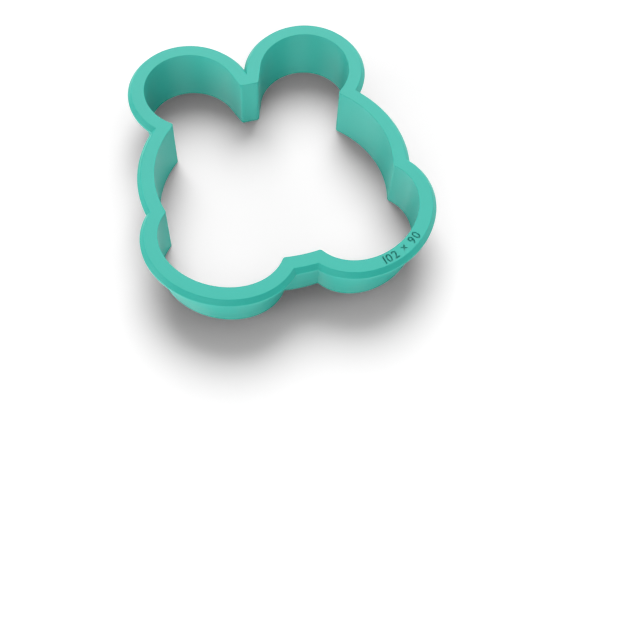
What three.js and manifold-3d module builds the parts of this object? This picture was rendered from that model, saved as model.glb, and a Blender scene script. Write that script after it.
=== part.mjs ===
// Cookie cutter in the outline of a rabbit seen from behind, in millimetres, +Z up.
// It stands on its cutting edge, with the grip rim on top and the ears towards +Y.
// The cut-out is the union of five lobes: a body, two ears and two feet. Each is an
// ellipse, and an ear also wraps round a smaller circle at its root. Growing each lobe
// outwards and uniting the results gives a ring of even thickness that keeps the sharp
// notches where two lobes meet.

import * as THREE from 'three';
import { mergeVertices } from 'three/addons/utils/BufferGeometryUtils.js';
import Module from 'manifold-3d';

// Cut-out, measured from the middle of the body
const BODY_HALF_WIDTH = 41.95;
const BODY_HALF_HEIGHT = 37.6;

const EAR_SIDEWAYS = 21.7;
const EAR_ABOVE = 40.05;
const EAR_HALF_LENGTH = 17.3;
const EAR_HALF_BREADTH = 16.45;
const EAR_LEAN_DEG = 55;
const EAR_ROOT_SIDEWAYS = 10;
const EAR_ROOT_ABOVE = 32.45;
const EAR_ROOT_RADIUS = 8;

const FOOT_SIDEWAYS = 24.8;
const FOOT_BELOW = 25.5;
const FOOT_HALF_LENGTH = 21.75;
const FOOT_HALF_BREADTH = 17.45;
const FOOT_LEAN_DEG = 35.6;

// Grip rim: a flat top, a side that slopes outwards, and a plumb lip below the slope
const RIM_TOP_WIDTH = 4.7;
const RIM_SLOPE_OUT = 1.4;
const RIM_SLOPE_HEIGHT = 1.85;
const RIM_LIP_HEIGHT = 0.95;

// Wall and edge below the rim, with their thicknesses at each change of draft
const WALL_HEIGHT = 12.9;
const WALL_THICKNESS_UNDER_RIM = 1.6;
const EDGE_HEIGHT = 6;
const EDGE_THICKNESS_UNDER_WALL = 1.2;
const EDGE_THICKNESS_AT_TIP = 0.8;

// Facets round one lobe, and how far a cutting solid runs past what it cuts
const LOBE_FACETS = 72;
const CUT_OVERRUN = 1;

const PLASTIC_COLOUR = '#4cc0ae';
const PLASTIC_ROUGHNESS = 0.42;

const wasm = await Module();
wasm.setup();

// The five lobes of the cut-out. Ears and feet are mirrored to the two sides.
function outlineLobes() {
  const body = {
    centre: new THREE.Vector2(0, 0),
    halfLength: BODY_HALF_WIDTH,
    halfBreadth: BODY_HALF_HEIGHT,
    lean: 0,
  };
  const pairs = [-1, 1].flatMap((side) => [
    {
      centre: new THREE.Vector2(side * EAR_SIDEWAYS, EAR_ABOVE),
      halfLength: EAR_HALF_LENGTH,
      halfBreadth: EAR_HALF_BREADTH,
      lean: side * THREE.MathUtils.degToRad(EAR_LEAN_DEG),
      root: {
        centre: new THREE.Vector2(side * EAR_ROOT_SIDEWAYS, EAR_ROOT_ABOVE),
        radius: EAR_ROOT_RADIUS,
      },
    },
    {
      centre: new THREE.Vector2(side * FOOT_SIDEWAYS, -FOOT_BELOW),
      halfLength: FOOT_HALF_LENGTH,
      halfBreadth: FOOT_HALF_BREADTH,
      lean: side * THREE.MathUtils.degToRad(FOOT_LEAN_DEG),
    },
  ]);
  return [body, ...pairs];
}

// Turns a closed three.js geometry into a solid that can be joined and cut.
function toSolid(geometry) {
  geometry.deleteAttribute('normal');
  geometry.deleteAttribute('uv');
  const merged = mergeVertices(geometry);
  return new wasm.Manifold(new wasm.Mesh({
    numProp: 3,
    vertProperties: new Float32Array(merged.attributes.position.array),
    triVerts: new Uint32Array(merged.index.array),
  }));
}

// The point of a lobe's grown outline that belongs to a point of the unit circle. A lobe
// with a root runs round its ellipse and the root as a belt round two wheels, so along
// each normal the farther of the two gives the point.
function lobePoint(lobe, onCircle, grow) {
  const pivot = new THREE.Vector2();
  const size = new THREE.Vector2(lobe.halfLength, lobe.halfBreadth);
  const normal = onCircle.clone().divide(size).normalize().rotateAround(pivot, lobe.lean);
  const onEllipse = onCircle.clone().multiply(size).rotateAround(pivot, lobe.lean);
  let point = onEllipse.add(lobe.centre);
  if (lobe.root) {
    const onRoot = lobe.root.centre.clone().addScaledVector(normal, lobe.root.radius);
    if (onRoot.dot(normal) > point.dot(normal)) point = onRoot;
  }
  return point.addScaledVector(normal, grow);
}

// One lobe as a solid between two levels. A level is a height z and the distance
// that the lobe is grown there, along its own normals, so the side is drafted
// where the two levels grow it by different amounts.
function lobeSolid(lobe, low, high) {
  const unitCylinder = new THREE.CylinderGeometry(1, 1, 1, LOBE_FACETS);
  const geometry = unitCylinder.rotateX(Math.PI / 2);
  const position = geometry.attributes.position;
  for (let i = 0; i < position.count; i += 1) {
    const onCircle = new THREE.Vector2(position.getX(i), position.getY(i));
    const level = position.getZ(i) > 0 ? high : low;
    const point = lobePoint(lobe, onCircle, level.grow);
    position.setXYZ(i, point.x, point.y, level.z);
  }
  return toSolid(geometry);
}

// All five lobes united between two levels.
function outlineSolid(low, high) {
  const solids = outlineLobes().map((lobe) => lobeSolid(lobe, low, high));
  return solids.reduce((united, solid) => united.add(solid));
}

// A ring round the cut-out between two levels: drafted outside, plumb inside.
function ringSolid(low, high) {
  const cutOut = outlineSolid(
    { z: low.z - CUT_OVERRUN, grow: 0 },
    { z: high.z + CUT_OVERRUN, grow: 0 },
  );
  return outlineSolid(low, high).subtract(cutOut);
}

// A named mesh from a solid, in the cutter's plastic.
function zoneMesh(name, solid) {
  const { vertProperties, triVerts } = solid.getMesh();
  const geometry = new THREE.BufferGeometry();
  geometry.setAttribute('position', new THREE.BufferAttribute(vertProperties, 3));
  geometry.setIndex(new THREE.BufferAttribute(triVerts, 1));
  geometry.computeVertexNormals();
  const material = new THREE.MeshStandardMaterial({
    color: PLASTIC_COLOUR,
    roughness: PLASTIC_ROUGHNESS,
    metalness: 0,
  });
  const mesh = new THREE.Mesh(geometry, material);
  mesh.name = name;
  return mesh;
}

// Levels where one zone seats on the next, from the cutting tip upwards
const tip = { z: 0, grow: EDGE_THICKNESS_AT_TIP };
const edgeTop = { z: tip.z + EDGE_HEIGHT, grow: EDGE_THICKNESS_UNDER_WALL };
const wallTop = { z: edgeTop.z + WALL_HEIGHT, grow: WALL_THICKNESS_UNDER_RIM };
const rimUnderside = { z: wallTop.z, grow: RIM_TOP_WIDTH + RIM_SLOPE_OUT };
const slopeFoot = { z: rimUnderside.z + RIM_LIP_HEIGHT, grow: rimUnderside.grow };
const rimTop = { z: slopeFoot.z + RIM_SLOPE_HEIGHT, grow: RIM_TOP_WIDTH };

const rimLip = ringSolid(rimUnderside, slopeFoot);
const rimSlope = ringSolid(slopeFoot, rimTop);

const cutter = new THREE.Group();
cutter.add(zoneMesh('grip_rim', rimLip.add(rimSlope)));
cutter.add(zoneMesh('cutter_wall', ringSolid(edgeTop, wallTop)));
cutter.add(zoneMesh('cutting_edge', ringSolid(tip, edgeTop)));

// The origin lies under the middle of the whole outline, level with the cutting tip.
const middle = new THREE.Box3().setFromObject(cutter).getCenter(new THREE.Vector3());
cutter.position.set(-middle.x, -middle.y, 0);

export default cutter;
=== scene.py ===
"""Cookie cutter in the outline of a rabbit seen from behind, dressed and lit for its portrait.

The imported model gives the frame: the height of each zone of the cutter and how far the outline
reaches. Each zone is modelled again here with finer facets and rounded edges, a plain size number is
cut into the rim, and all of it gets its satin plastic. Sizes are in metres, in the frame's own axes.
"""

import logging
import math
from dataclasses import dataclass, field
from enum import Enum

import bpy
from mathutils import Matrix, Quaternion, Vector


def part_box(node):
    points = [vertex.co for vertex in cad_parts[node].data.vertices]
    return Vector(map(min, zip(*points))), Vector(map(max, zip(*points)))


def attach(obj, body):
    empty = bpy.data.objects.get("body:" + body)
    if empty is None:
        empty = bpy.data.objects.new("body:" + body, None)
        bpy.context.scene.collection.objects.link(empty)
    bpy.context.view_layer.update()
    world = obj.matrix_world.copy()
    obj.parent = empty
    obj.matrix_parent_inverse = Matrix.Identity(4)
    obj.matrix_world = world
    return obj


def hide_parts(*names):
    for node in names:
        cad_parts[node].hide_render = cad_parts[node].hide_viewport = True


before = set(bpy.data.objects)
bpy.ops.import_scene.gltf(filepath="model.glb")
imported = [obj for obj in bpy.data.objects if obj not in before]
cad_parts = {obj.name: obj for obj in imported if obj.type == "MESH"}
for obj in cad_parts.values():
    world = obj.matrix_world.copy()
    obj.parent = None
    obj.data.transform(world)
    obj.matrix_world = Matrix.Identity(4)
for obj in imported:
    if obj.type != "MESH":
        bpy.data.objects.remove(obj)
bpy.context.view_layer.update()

MM = 0.001
BODY = "root"

# Facets round one lobe and round a small corner, and steps in the round of an edge
LOBE_FACETS = 192
CORNER_FACETS = 64
ROUND_STEPS = 4

# Directions in which a lobe is measured, and steps in which a corner's place is refined
MEASURED_DIRECTIONS = 360
REFINING_STEPS = 8

# How far a cutting solid runs past what it cuts, and when two points count as one
CUT_OVERRUN = 1.0 * MM
SAME_POINT = 0.001 * MM

# Faces that lie in one plane within this angle become one face, and edges sharper than the second
# angle stay sharp when the faces between them are shaded smooth
FLAT_ANGLE = math.radians(0.05)
SHARP_ANGLE = math.radians(32)

# Share of a face's normal that points up or down from which the face counts as level
LEVEL_SHARE = 0.5

# Tilts of a face's normal in the ring's section, from straight outwards
OUTWARDS = 0.0
UPWARDS = math.radians(90)
INWARDS = math.radians(180)
DOWNWARDS_OUTSIDE = math.radians(-90)
DOWNWARDS_INSIDE = math.radians(270)

WHITE = (1.0, 1.0, 1.0, 1.0)

log = logging.getLogger("cookie_cutter")


class Side(Enum):
    """The two mirrored sides of the rabbit."""

    LEFT = -1
    RIGHT = 1


class Joining(Enum):
    """What a tool solid does to the piece it meets."""

    UNITE = "UNION"
    CUT = "DIFFERENCE"


@dataclass(frozen=True)
class Level:
    """A height on the ring, and how far the lobes are grown outwards there."""

    height: float
    grow: float


def select_only(piece: bpy.types.Object) -> None:
    """Selects one object alone and makes it the active one.

    Args:
        piece: The object to select.
    """
    bpy.ops.object.select_all(action="DESELECT")
    piece.select_set(True)
    bpy.context.view_layer.objects.active = piece


def select_ring(piece: bpy.types.Object, height: float) -> None:
    """Selects the vertices of the edited mesh that lie at one height.

    Args:
        piece: The object in edit mode.
        height: Height of the ring above the cutting tip.
    """
    bpy.ops.mesh.select_mode(type="VERT")
    bpy.ops.mesh.select_all(action="DESELECT")
    bpy.ops.object.mode_set(mode="OBJECT")
    for vertex in piece.data.vertices:
        vertex.select = abs(vertex.co.z - height) < SAME_POINT
    bpy.ops.object.mode_set(mode="EDIT")


def select_level_faces(piece: bpy.types.Object) -> None:
    """Selects the faces of the edited mesh that look straight up or down.

    Args:
        piece: The object in edit mode.
    """
    bpy.ops.mesh.select_mode(type="FACE")
    bpy.ops.mesh.select_all(action="DESELECT")
    bpy.ops.object.mode_set(mode="OBJECT")
    for face in piece.data.polygons:
        face.select = abs(face.normal.z) > LEVEL_SHARE
    bpy.ops.object.mode_set(mode="EDIT")


def join(piece: bpy.types.Object, tool: bpy.types.Object, joining: Joining) -> None:
    """Unites a piece with a tool solid or cuts the solid out of it, and removes the tool.

    Args:
        piece: The object that is changed.
        tool: The solid that is used up.
        joining: Whether the tool is added or cut away.
    """
    select_only(piece)
    bpy.ops.object.modifier_add(type="BOOLEAN")
    modifier = piece.modifiers[-1]
    modifier.operation = joining.value
    modifier.solver = "MANIFOLD"
    modifier.object = tool
    bpy.ops.object.modifier_apply(modifier=modifier.name)
    select_only(tool)
    bpy.ops.object.delete()


def finish_mesh(piece: bpy.types.Object) -> None:
    """Cleans a cut solid and shades it smooth between its sharp edges.

    Args:
        piece: The object to clean.
    """
    select_only(piece)
    bpy.ops.object.mode_set(mode="EDIT")
    bpy.ops.mesh.select_all(action="SELECT")
    bpy.ops.mesh.remove_doubles(threshold=SAME_POINT)
    bpy.ops.mesh.dissolve_limited(angle_limit=FLAT_ANGLE)
    bpy.ops.mesh.normals_make_consistent(inside=False)
    bpy.ops.object.mode_set(mode="OBJECT")
    bpy.ops.object.shade_smooth_by_angle(angle=SHARP_ANGLE)
    bpy.ops.object.modifier_add(type="WEIGHTED_NORMAL")
    modifier = piece.modifiers[-1]
    modifier.keep_sharp = True
    bpy.ops.object.modifier_apply(modifier=modifier.name)


@dataclass(frozen=True)
class Root:
    """A small circle at the foot of a lobe, which the lobe's outline runs round as well."""

    centre: Vector
    radius: float


@dataclass(frozen=True)
class Lobe:
    """One ellipse of the cut-out, which the ring follows at an even distance."""

    name: str
    centre: Vector
    half_length: float
    half_breadth: float
    lean: float = 0.0
    root: Root | None = None
    facets: int = LOBE_FACETS

    def reach(self, direction: Vector) -> float:
        """Measures how far the lobe reaches from the outline's origin.

        Args:
            direction: Unit vector to measure along.

        Returns:
            The distance of the farthest point along that direction.
        """
        turned = direction.copy()
        turned.rotate(Quaternion((0, 0, 1), -self.lean))
        own_reach = math.hypot(self.half_length * turned.x, self.half_breadth * turned.y)
        farthest = self.centre.dot(direction) + own_reach
        if self.root:
            farthest = max(farthest, self.root.centre.dot(direction) + self.root.radius)
        return farthest

    def nearest(self, point: Vector) -> tuple[float, Vector]:
        """Measures how far a point lies from the lobe's edge.

        Args:
            point: The point to measure from.

        Returns:
            The distance, below zero inside the lobe, and the edge's outward normal there.
        """
        turns = [math.tau * step / MEASURED_DIRECTIONS for step in range(MEASURED_DIRECTIONS)]
        normals = [Vector((math.cos(turn), math.sin(turn), 0)) for turn in turns]
        distances = [point.dot(normal) - self.reach(normal) for normal in normals]
        distance = max(distances)
        return distance, normals[distances.index(distance)]

    def edge(self, turn: float, grow: float) -> tuple[Vector, Vector]:
        """Finds a point on the grown ellipse.

        Args:
            turn: The ellipse's own angle to the point, anticlockwise from its long axis.
            grow: How far outside the ellipse the point lies.

        Returns:
            The point and the outward normal there.
        """
        lean = Quaternion((0, 0, 1), self.lean)
        normal = Vector((math.cos(turn) / self.half_length, math.sin(turn) / self.half_breadth, 0))
        normal.normalize()
        on_ellipse = Vector((self.half_length * math.cos(turn), self.half_breadth * math.sin(turn), 0))
        return self.centre + lean @ (on_ellipse + grow * normal), lean @ normal

    def solid(self, levels: list[Level]) -> bpy.types.Object:
        """Models the lobe as a closed solid, ring by ring from the lowest level upwards.

        Args:
            levels: Heights with their growth, from the lowest to the highest.

        Returns:
            The solid, at its place in the outline.
        """
        lowest, second = levels[:2]
        bpy.ops.object.select_all(action="DESELECT")
        bpy.ops.mesh.primitive_cylinder_add(
            vertices=self.facets,
            radius=1.0,
            depth=second.height - lowest.height,
            end_fill_type="NOTHING",
            location=(0, 0, (second.height + lowest.height) / 2),
        )
        piece = bpy.context.object
        piece.name = self.name
        bpy.ops.object.transform_apply(location=True, rotation=False, scale=False)
        bpy.ops.object.mode_set(mode="EDIT")
        bpy.ops.mesh.select_all(action="SELECT")
        bpy.ops.transform.resize(value=(self.half_length, self.half_breadth, 1.0))
        if self.root:
            self.wrap_root(piece, lowest.height, second.height)
        bpy.ops.mesh.select_all(action="SELECT")
        bpy.ops.transform.shrink_fatten(value=lowest.grow)
        select_ring(piece, second.height)
        bpy.ops.transform.shrink_fatten(value=second.grow - lowest.grow)
        for below, level in zip(levels[1:], levels[2:]):
            step = (0, 0, level.height - below.height)
            bpy.ops.mesh.extrude_edges_move(TRANSFORM_OT_translate={"value": step})
            bpy.ops.transform.shrink_fatten(value=level.grow - below.grow)
        bpy.ops.mesh.select_all(action="SELECT")
        bpy.ops.mesh.fill_holes(sides=0)
        bpy.ops.mesh.normals_make_consistent(inside=False)
        bpy.ops.object.mode_set(mode="OBJECT")
        piece.rotation_euler.z = self.lean
        piece.location = self.centre
        bpy.ops.object.transform_apply(location=True, rotation=True, scale=True)
        return piece

    def wrap_root(self, piece: bpy.types.Object, bottom: float, top: float) -> None:
        """Runs the side of the edited lobe round its root, as a belt runs round two wheels.

        Args:
            piece: The lobe in edit mode, not yet turned or moved to its place.
            bottom: Height of the side's lower edge.
            top: Height of its upper edge.
        """
        place = self.root.centre - self.centre
        place.rotate(Quaternion((0, 0, 1), -self.lean))
        bpy.ops.mesh.primitive_cylinder_add(
            vertices=self.facets,
            radius=self.root.radius,
            depth=top - bottom,
            end_fill_type="NOTHING",
            location=(place.x, place.y, (bottom + top) / 2),
        )
        bpy.ops.mesh.select_all(action="SELECT")
        bpy.ops.mesh.convex_hull()
        select_level_faces(piece)
        bpy.ops.mesh.delete(type="FACE")


@dataclass(frozen=True)
class RabbitOutline:
    """The cut-out: a round body, two ears and two feet, measured from the middle of the body."""

    body_half_width: float = 41.95 * MM
    body_half_height: float = 37.6 * MM
    ear_sideways: float = 21.7 * MM
    ear_above: float = 40.05 * MM
    ear_half_length: float = 17.3 * MM
    ear_half_breadth: float = 16.45 * MM
    ear_lean: float = math.radians(55)
    ear_root_sideways: float = 10 * MM
    ear_root_above: float = 32.45 * MM
    ear_root_radius: float = 8 * MM
    foot_sideways: float = 24.8 * MM
    foot_below: float = 25.5 * MM
    foot_half_length: float = 21.75 * MM
    foot_half_breadth: float = 17.45 * MM
    foot_lean: float = math.radians(35.6)
    corner_round: float = 1.2 * MM
    centre: Vector = field(default_factory=Vector)

    def body(self) -> Lobe:
        """Returns the body's lobe."""
        return Lobe("body", self.centre, self.body_half_width, self.body_half_height)

    def ear(self, side: Side) -> Lobe:
        """Returns the ear's lobe on one side."""
        place = Vector((side.value * self.ear_sideways, self.ear_above, 0))
        lean = side.value * self.ear_lean
        root_place = Vector((side.value * self.ear_root_sideways, self.ear_root_above, 0))
        root = Root(self.centre + root_place, self.ear_root_radius)
        return Lobe("ear", self.centre + place, self.ear_half_length, self.ear_half_breadth, lean, root)

    def foot(self, side: Side) -> Lobe:
        """Returns the foot's lobe on one side."""
        place = Vector((side.value * self.foot_sideways, -self.foot_below, 0))
        lean = side.value * self.foot_lean
        return Lobe("foot", self.centre + place, self.foot_half_length, self.foot_half_breadth, lean)

    def limbs(self) -> list[Lobe]:
        """Returns the lobes of the ears and the feet."""
        return [limb for side in Side for limb in (self.ear(side), self.foot(side))]

    def lobes(self) -> list[Lobe]:
        """Returns all five lobes, the body first."""
        return [self.body(), *self.limbs()]

    def reach(self, direction: Vector) -> float:
        """Returns how far the cut-out reaches from the origin along a unit vector."""
        return max(lobe.reach(direction) for lobe in self.lobes())

    def length(self) -> float:
        """Returns the length of the cut biscuit, from the ears to the feet."""
        return self.reach(Vector((0, 1, 0))) + self.reach(Vector((0, -1, 0)))

    def width(self) -> float:
        """Returns the width of the cut biscuit, from side to side."""
        return self.reach(Vector((1, 0, 0))) + self.reach(Vector((-1, 0, 0)))

    def solid(self, levels: list[Level]) -> bpy.types.Object:
        """Models the whole outline as one solid.

        Args:
            levels: Heights with their growth, from the lowest to the highest.

        Returns:
            The united lobes.
        """
        whole, *others = [lobe.solid(levels) for lobe in self.lobes()]
        for other in others:
            join(whole, other, Joining.UNITE)
        return whole

    def meeting_point(self, limb: Lobe, side: Side, grow: float) -> Vector:
        """Finds the point at the same distance outside a limb and outside the body.

        Args:
            limb: The lobe of an ear or a foot.
            side: Which side of the limb, seen from the body.
            grow: The distance.

        Returns:
            The point.
        """
        body = self.body()
        away = (limb.centre - body.centre).normalized()
        point = limb.centre + side.value * limb.half_breadth * Vector((away.y, -away.x, 0))
        for _ in range(REFINING_STEPS):
            to_limb, out = limb.nearest(point)
            to_body, up = body.nearest(point)
            along_out, along_up = grow - to_limb, grow - to_body
            slant = out.x * up.y - out.y * up.x
            point = point + Vector((
                (along_out * up.y - along_up * out.y) / slant,
                (along_up * out.x - along_out * up.x) / slant,
                0,
            ))
        return point

    def corner_relief(self, limb: Lobe, side: Side, levels: list[Level]) -> bpy.types.Object:
        """Models what the cut-out takes away to round a corner between a limb and the body.

        Args:
            limb: The lobe of an ear or a foot.
            side: Which side of the limb, seen from the body.
            levels: Heights of the cut-out with their growth.

        Returns:
            The solid between the sharp corner and its round.
        """
        radius = self.corner_round
        corner = self.meeting_point(limb, side, 0.0)
        centre = self.meeting_point(limb, side, radius)
        to_round = math.sqrt((centre - corner).length_squared - radius ** 2)
        relief = Lobe("corner", corner, to_round, to_round, facets=CORNER_FACETS)
        rounding = Lobe("corner_round", centre, radius, radius, facets=CORNER_FACETS)
        first, *middle, last = [Level(level.height, -level.grow) for level in levels]
        past_ends = [
            Level(first.height - CUT_OVERRUN, first.grow),
            *middle,
            Level(last.height + CUT_OVERRUN, last.grow),
        ]
        piece = relief.solid([Level(level.height, 0.0) for level in levels])
        join(piece, rounding.solid(past_ends), Joining.CUT)
        return piece

    def ring(self, outside: list[Level], inside: list[Level]) -> bpy.types.Object:
        """Models a ring round the cut-out, with the cut-out's corners rounded.

        Args:
            outside: Levels of the outer face.
            inside: Levels of the cut-out, which run past the outer face's ends.

        Returns:
            The ring.
        """
        piece = self.solid(outside)
        cut_out = self.solid(inside)
        for limb in self.limbs():
            for side in Side:
                join(cut_out, self.corner_relief(limb, side, inside), Joining.UNITE)
        join(piece, cut_out, Joining.CUT)
        return piece


@dataclass(frozen=True)
class SatinPlastic:
    """Smooth teal plastic with a satin surface, even in colour, with a very fine grain."""

    name: str = "satin_teal_plastic"
    colour: tuple[float, float, float] = (0.036, 0.53, 0.433)
    tone_spread: float = 0.05
    cloud_size: float = 22 * MM
    cloud_detail: float = 3.0
    grain_size: float = 0.35 * MM
    grain_detail: float = 2.0
    grain_depth: float = 0.004 * MM
    roughness: float = 0.4
    roughness_spread: float = 0.05
    refraction: float = 1.31

    def tone(self, share: float) -> tuple[float, float, float, float]:
        """Returns the colour made lighter or darker by a share of itself."""
        red, green, blue = (channel * (1 + share) for channel in self.colour)
        return red, green, blue, 1.0

    def material(self) -> bpy.types.Material:
        """Builds the node material, on object coordinates.

        Returns:
            The material.
        """
        material = bpy.data.materials.new(self.name)
        material.use_nodes = True
        nodes, links = material.node_tree.nodes, material.node_tree.links
        shader = nodes["Principled BSDF"]
        shader.inputs["IOR"].default_value = self.refraction
        place = nodes.new("ShaderNodeTexCoord")

        clouds = nodes.new("ShaderNodeTexNoise")
        clouds.inputs["Scale"].default_value = 1 / self.cloud_size
        clouds.inputs["Detail"].default_value = self.cloud_detail
        links.new(place.outputs["Object"], clouds.inputs["Vector"])

        tones = nodes.new("ShaderNodeMix")
        tones.data_type = "RGBA"
        tones.inputs["A"].default_value = self.tone(-self.tone_spread)
        tones.inputs["B"].default_value = self.tone(self.tone_spread)
        links.new(clouds.outputs["Fac"], tones.inputs["Factor"])
        links.new(tones.outputs["Result"], shader.inputs["Base Color"])

        grain = nodes.new("ShaderNodeTexNoise")
        grain.inputs["Scale"].default_value = 1 / self.grain_size
        grain.inputs["Detail"].default_value = self.grain_detail
        links.new(place.outputs["Object"], grain.inputs["Vector"])

        sheen = nodes.new("ShaderNodeMapRange")
        sheen.inputs["To Min"].default_value = self.roughness - self.roughness_spread
        sheen.inputs["To Max"].default_value = self.roughness + self.roughness_spread
        links.new(grain.outputs["Fac"], sheen.inputs["Value"])
        links.new(sheen.outputs["Result"], shader.inputs["Roughness"])

        bump = nodes.new("ShaderNodeBump")
        bump.inputs["Distance"].default_value = self.grain_depth
        links.new(grain.outputs["Fac"], bump.inputs["Height"])
        links.new(bump.outputs["Normal"], shader.inputs["Normal"])
        return material


@dataclass(frozen=True)
class RoundedEdge:
    """A small round between two faces of the ring's section, worked out as levels."""

    radius: float

    def levels(self, corner: Level, first: float, last: float) -> list[Level]:
        """Finds the rings of the round.

        Args:
            corner: Where the two faces would meet.
            first: Tilt of the first face's normal.
            last: Tilt of the second face's normal.

        Returns:
            The levels, from the first face to the second.
        """
        middle = (first + last) / 2
        to_centre = self.radius / math.cos((last - first) / 2)
        centre = Level(
            corner.height - to_centre * math.sin(middle),
            corner.grow - to_centre * math.cos(middle),
        )
        tilts = [first + (last - first) * step / ROUND_STEPS for step in range(ROUND_STEPS + 1)]
        return [
            Level(centre.height + self.radius * math.sin(tilt), centre.grow + self.radius * math.cos(tilt))
            for tilt in tilts
        ]


@dataclass(frozen=True)
class SizeNumber:
    """The size of the cut biscuit in millimetres, cut into the rim as plain numbers."""

    digit_height: float = 3.0 * MM
    letter_gap: float = 0.5 * MM
    word_gap: float = 1.1 * MM
    depth: float = 0.9 * MM
    stroke_growth: float = 0.07 * MM
    curve_steps: int = 4
    height_share: float = 0.7
    middle_turn: float = math.radians(-99.6)
    measured_turn: float = 0.005

    def characters(self, outline: RabbitOutline) -> str:
        """Returns the number's characters, length by width."""
        return f"{outline.length() / MM:.0f} × {outline.width() / MM:.0f}"

    def character_solid(self, character: str) -> bpy.types.Object:
        """Models one character as a solid, flat on the ground and centred from side to side.

        Args:
            character: The digit or sign.

        Returns:
            The solid.
        """
        bpy.ops.object.select_all(action="DESELECT")
        bpy.ops.object.text_add()
        piece = bpy.context.object
        piece.data.body = character
        piece.data.size = self.digit_height / self.height_share
        piece.data.extrude = self.depth
        piece.data.offset = self.stroke_growth
        piece.data.resolution_u = self.curve_steps
        piece.data.align_x = "CENTER"
        bpy.ops.object.convert(target="MESH")
        bpy.ops.object.mode_set(mode="EDIT")
        bpy.ops.mesh.select_all(action="SELECT")
        bpy.ops.mesh.remove_doubles(threshold=SAME_POINT)
        bpy.ops.mesh.normals_make_consistent(inside=False)
        bpy.ops.object.mode_set(mode="OBJECT")
        return piece

    def cut_into(self, rim: bpy.types.Object, lobe: Lobe, grow: float, top: float, characters: str) -> None:
        """Cuts the characters into the rim, along the middle of its top.

        Args:
            rim: The rim that is cut.
            lobe: The lobe that the number follows.
            grow: Distance of the number's middle line from the lobe.
            top: Height of the rim's top.
            characters: The number's characters and spaces.
        """
        solids = [None if sign == " " else self.character_solid(sign) for sign in characters]
        widths = [self.word_gap if solid is None else solid.dimensions.x for solid in solids]
        run = sum(widths) + self.letter_gap * (len(widths) - 1)
        ahead, _ = lobe.edge(self.middle_turn + self.measured_turn, grow)
        behind, _ = lobe.edge(self.middle_turn - self.measured_turn, grow)
        turn_per_length = 2 * self.measured_turn / (ahead - behind).length
        start = -run / 2
        for solid, width in zip(solids, widths):
            turn = self.middle_turn + (start + width / 2) * turn_per_length
            start += width + self.letter_gap
            if solid is None:
                continue
            middle, normal = lobe.edge(turn, grow)
            select_only(solid)
            solid.rotation_euler.z = math.atan2(normal.y, normal.x) + math.pi / 2
            solid.location = middle + normal * self.digit_height / 2 + Vector((0, 0, top))
            bpy.ops.object.transform_apply(location=True, rotation=True, scale=True)
        first, *others = [solid for solid in solids if solid is not None]
        select_only(first)
        for solid in others:
            solid.select_set(True)
        bpy.ops.object.join()
        join(rim, first, Joining.CUT)


@dataclass
class RingZone:
    """A zone of the cutter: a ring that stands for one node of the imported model."""

    outline: RabbitOutline
    node: str = ""

    def heights(self) -> tuple[float, float]:
        """Returns the heights where the zone starts and ends, from the frame."""
        lowest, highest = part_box(self.node)
        return lowest.z, highest.z

    def outside(self) -> list[Level]:
        """Returns the levels of the outer face, from the lowest up."""
        raise NotImplementedError

    def inside(self) -> list[Level]:
        """Returns the levels of the cut-out, plumb and running past both ends."""
        bottom, top = self.heights()
        return [Level(bottom - CUT_OVERRUN, 0.0), Level(top + CUT_OVERRUN, 0.0)]

    def build(self) -> bpy.types.Object:
        """Models the ring.

        Returns:
            The piece, not yet dressed.
        """
        piece = self.outline.ring(self.outside(), self.inside())
        piece.name = f"{self.node}_dressed"
        piece.data.name = piece.name
        return piece

    def dress(self, piece: bpy.types.Object, material: bpy.types.Material) -> None:
        """Finishes the mesh, gives it its plastic and ties it to the frame.

        Args:
            piece: The modelled ring.
            material: The plastic.
        """
        finish_mesh(piece)
        piece.data.materials.clear()
        piece.data.materials.append(material)
        # Without coloured light from the plastic the shadow on the floor stays grey
        piece.visible_diffuse = False
        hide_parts(self.node)
        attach(piece, BODY)
        log.info("%s: %d faces", piece.name, len(piece.data.polygons))


@dataclass
class GripRim(RingZone):
    """The broad rim that the hand presses on: a flat top, a sloped side and a plumb lip below it."""

    node: str = "grip_rim"
    top_width: float = 4.7 * MM
    slope_out: float = 1.4 * MM
    slope_height: float = 1.85 * MM
    inner_round: RoundedEdge = RoundedEdge(0.15 * MM)
    top_round: RoundedEdge = RoundedEdge(0.3 * MM)
    lip_round: RoundedEdge = RoundedEdge(0.3 * MM)
    underside_round: RoundedEdge = RoundedEdge(0.15 * MM)
    number: SizeNumber = SizeNumber()

    @classmethod
    def reach(cls) -> float:
        """Returns how far the lip stands out from the cut-out."""
        return cls.top_width + cls.slope_out

    def outside(self) -> list[Level]:
        """Returns the lip, the slope and the three rounded edges."""
        bottom, top = self.heights()
        slope_tilt = math.atan2(self.slope_out, self.slope_height)
        underside = Level(bottom, self.reach())
        slope_foot = Level(top - self.slope_height, self.reach())
        slope_top = Level(top, self.top_width)
        return [
            *self.underside_round.levels(underside, DOWNWARDS_OUTSIDE, OUTWARDS),
            *self.lip_round.levels(slope_foot, OUTWARDS, slope_tilt),
            *self.top_round.levels(slope_top, slope_tilt, UPWARDS),
        ]

    def inside(self) -> list[Level]:
        """Returns the plumb cut-out with its rounded top edge."""
        bottom, top = self.heights()
        rounded = self.inner_round.levels(Level(top, 0.0), INWARDS, UPWARDS)
        above = Level(top + CUT_OVERRUN, rounded[-1].grow)
        return [Level(bottom - CUT_OVERRUN, 0.0), *rounded, above]

    def build(self) -> bpy.types.Object:
        """Models the rim and cuts the number into it.

        Returns:
            The piece, not yet dressed.
        """
        piece = super().build()
        foot = self.outline.foot(Side.RIGHT)
        characters = self.number.characters(self.outline)
        self.number.cut_into(piece, foot, self.top_width / 2, self.heights()[1], characters)
        return piece


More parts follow.
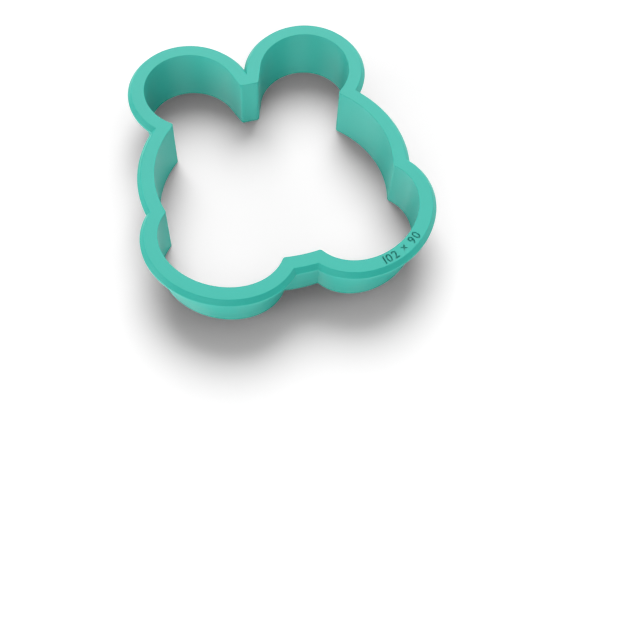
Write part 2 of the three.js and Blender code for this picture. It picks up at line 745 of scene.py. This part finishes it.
@dataclass
class CutterWall(RingZone):
    """The upright wall under the rim, thinner towards the cutting edge."""

    node: str = "cutter_wall"
    thickness_below: float = 1.2 * MM
    thickness_above: float = 1.6 * MM

    def outside(self) -> list[Level]:
        """Returns the drafted outer face."""
        bottom, top = self.heights()
        return [Level(bottom, self.thickness_below), Level(top, self.thickness_above)]


@dataclass
class CuttingEdge(RingZone):
    """The thin band at the bottom that goes through the dough."""

    node: str = "cutting_edge"
    thickness_at_tip: float = 0.8 * MM
    thickness_above: float = 1.2 * MM
    tip_round: RoundedEdge = RoundedEdge(0.12 * MM)

    def outside(self) -> list[Level]:
        """Returns the rounded tip and the drafted outer face above it."""
        bottom, top = self.heights()
        draft = math.atan2(self.thickness_above - self.thickness_at_tip, top - bottom)
        tip = Level(bottom, self.thickness_at_tip)
        return [
            *self.tip_round.levels(tip, DOWNWARDS_OUTSIDE, OUTWARDS - draft),
            Level(top, self.thickness_above),
        ]

    def inside(self) -> list[Level]:
        """Returns the plumb cut-out with its rounded tip."""
        bottom, top = self.heights()
        rounded = self.tip_round.levels(Level(bottom, 0.0), DOWNWARDS_INSIDE, INWARDS)
        below = Level(bottom - CUT_OVERRUN, rounded[0].grow)
        return [below, *rounded, Level(top + CUT_OVERRUN, 0.0)]


def seen_or_mirrored(tree: bpy.types.NodeTree) -> bpy.types.NodeSocket:
    """Finds out whether the camera sees a surface, by itself or in a reflection.

    Args:
        tree: The node tree of the surface or the world.

    Returns:
        A socket that gives one for such rays and zero for the rest.
    """
    path = tree.nodes.new("ShaderNodeLightPath")
    seen = path.outputs["Is Camera Ray"]
    for kind in ("Is Glossy Ray", "Is Transmission Ray"):
        either = tree.nodes.new("ShaderNodeMath")
        either.operation = "MAXIMUM"
        tree.links.new(seen, either.inputs[0])
        tree.links.new(path.outputs[kind], either.inputs[1])
        seen = either.outputs["Value"]
    return seen


@dataclass(frozen=True)
class StudioFloor:
    """A plain white floor that takes the object's shadow."""

    half_width: float = 4.0
    colour: tuple[float, float, float, float] = WHITE
    seen_colour: tuple[float, float, float, float] = (1.2, 1.2, 1.2, 1.0)

    def build(self) -> None:
        """Models the floor under the cutting tip."""
        bpy.ops.object.select_all(action="DESELECT")
        bpy.ops.mesh.primitive_plane_add(size=2 * self.half_width)
        floor = bpy.context.object
        floor.name = "studio_floor"
        floor.data.materials.append(self.material())
        # The lamps below it stand for the light that a white table throws up, so it lets them through
        floor.visible_shadow = False

    def material(self) -> bpy.types.Material:
        """Builds the white paper, which the camera sees a little brighter than it lights the object.

        Returns:
            The material.
        """
        material = bpy.data.materials.new("white_paper")
        material.use_nodes = True
        tree = material.node_tree
        tree.nodes.remove(tree.nodes["Principled BSDF"])
        paper = tree.nodes.new("ShaderNodeBsdfDiffuse")
        shade = tree.nodes.new("ShaderNodeMix")
        shade.data_type = "RGBA"
        shade.inputs["A"].default_value = self.colour
        shade.inputs["B"].default_value = self.seen_colour
        tree.links.new(seen_or_mirrored(tree), shade.inputs["Factor"])
        tree.links.new(shade.outputs["Result"], paper.inputs["Color"])
        tree.links.new(paper.outputs["BSDF"], tree.nodes["Material Output"].inputs["Surface"])
        return material


@dataclass(frozen=True)
class StudioLamp:
    """A broad lamp far off, named by where it stands round the cutter and how high.

    Its angles are in degrees: the azimuth anticlockwise from the right, the elevation negative where
    the lamp stands below the floor.
    """

    name: str
    azimuth: float
    elevation: float
    spread: float
    strength: float

    def build(self) -> None:
        """Adds the lamp, shining at the cutter."""
        azimuth, elevation = math.radians(self.azimuth), math.radians(self.elevation)
        towards_lamp = Vector((
            math.cos(elevation) * math.cos(azimuth),
            math.cos(elevation) * math.sin(azimuth),
            math.sin(elevation),
        ))
        turned = towards_lamp.to_track_quat("Z", "Y").to_euler()
        bpy.ops.object.light_add(type="SUN", location=towards_lamp, rotation=turned)
        lamp = bpy.context.object
        lamp.name = self.name
        lamp.data.energy = self.strength
        lamp.data.angle = math.radians(self.spread)
        # Shadow rays alone find the lamp, so that the plastic throws its full shadow on the floor
        lamp.data.cycles.use_multiple_importance_sampling = False


@dataclass(frozen=True)
class StudioLight:
    """Lamps behind, above and low round the cutter, light thrown up from below, and a white backdrop."""

    lamps: tuple[StudioLamp, ...] = (
        StudioLamp("back_lamp", azimuth=79, elevation=50, spread=46, strength=2.1),
        StudioLamp("top_lamp", azimuth=0, elevation=90, spread=100, strength=0.9),
        StudioLamp("left_lamp", azimuth=180, elevation=8, spread=40, strength=0.8),
        StudioLamp("low_front_lamp", azimuth=235, elevation=8, spread=40, strength=0.65),
        StudioLamp("right_lamp", azimuth=0, elevation=8, spread=40, strength=0.62),
        StudioLamp("left_bounce", azimuth=180, elevation=-50, spread=50, strength=0.64),
        StudioLamp("front_bounce", azimuth=270, elevation=-25, spread=50, strength=0.58),
        StudioLamp("steep_front_bounce", azimuth=270, elevation=-50, spread=50, strength=0.4),
    )

    def build(self) -> None:
        """Adds the lamps and the room."""
        for lamp in self.lamps:
            lamp.build()
        self.add_room()

    def add_room(self) -> None:
        """Adds a room that gives no light of its own, seen and mirrored as a white backdrop."""
        room = bpy.data.worlds.new("pale_room")
        bpy.context.scene.world = room
        room.use_nodes = True
        tree = room.node_tree
        backdrop = tree.nodes["Background"]
        backdrop.inputs["Color"].default_value = WHITE
        tree.links.new(seen_or_mirrored(tree), backdrop.inputs["Strength"])


@dataclass(frozen=True)
class PortraitCamera:
    """The camera, above the feet and a little to the left, as in the portrait."""

    aim: Vector = field(default_factory=lambda: Vector((2.55 * MM, -33.92 * MM, 0)))
    distance: float = 336.16 * MM
    azimuth: float = math.radians(-17.512)
    elevation: float = math.radians(59.545)
    roll: float = math.radians(2.928)
    lens: float = 53.225
    sensor: float = 36.0
    shift: tuple[float, float] = (0.0305, -0.0930)

    def build(self) -> None:
        """Adds the camera and makes it the scene's own."""
        back = Vector((
            math.sin(self.azimuth) * math.cos(self.elevation),
            -math.cos(self.azimuth) * math.cos(self.elevation),
            math.sin(self.elevation),
        ))
        turned = back.to_track_quat("Z", "Y") @ Quaternion((0, 0, 1), self.roll)
        place = self.aim + self.distance * back
        bpy.ops.object.camera_add(location=place, rotation=turned.to_euler())
        camera = bpy.context.object
        camera.name = "portrait_camera"
        camera.data.sensor_width = self.sensor
        camera.data.lens = self.lens
        camera.data.shift_x, camera.data.shift_y = self.shift
        bpy.context.scene.camera = camera


def outline_in_frame(rim_width: float) -> RabbitOutline:
    """Places the outline so that the rim's ends meet the frame's.

    Args:
        rim_width: How far the rim reaches past the cut-out.

    Returns:
        The outline, with its centre in the frame.
    """
    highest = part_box("grip_rim")[1]
    to_ears = RabbitOutline().reach(Vector((0, 1, 0))) + rim_width
    return RabbitOutline(centre=Vector((0, highest.y - to_ears, 0)))


def main() -> None:
    """Builds the camera, the stage and the cutter's zones in order."""
    logging.basicConfig(level=logging.INFO, format="%(name)s: %(message)s")
    bpy.context.scene.view_settings.view_transform = "Standard"
    PortraitCamera().build()
    StudioFloor().build()
    StudioLight().build()

    plastic = SatinPlastic().material()
    outline = outline_in_frame(GripRim.reach())
    for zone in (GripRim(outline), CutterWall(outline), CuttingEdge(outline)):
        zone.dress(zone.build(), plastic)


if __name__ == "__main__":
    main()
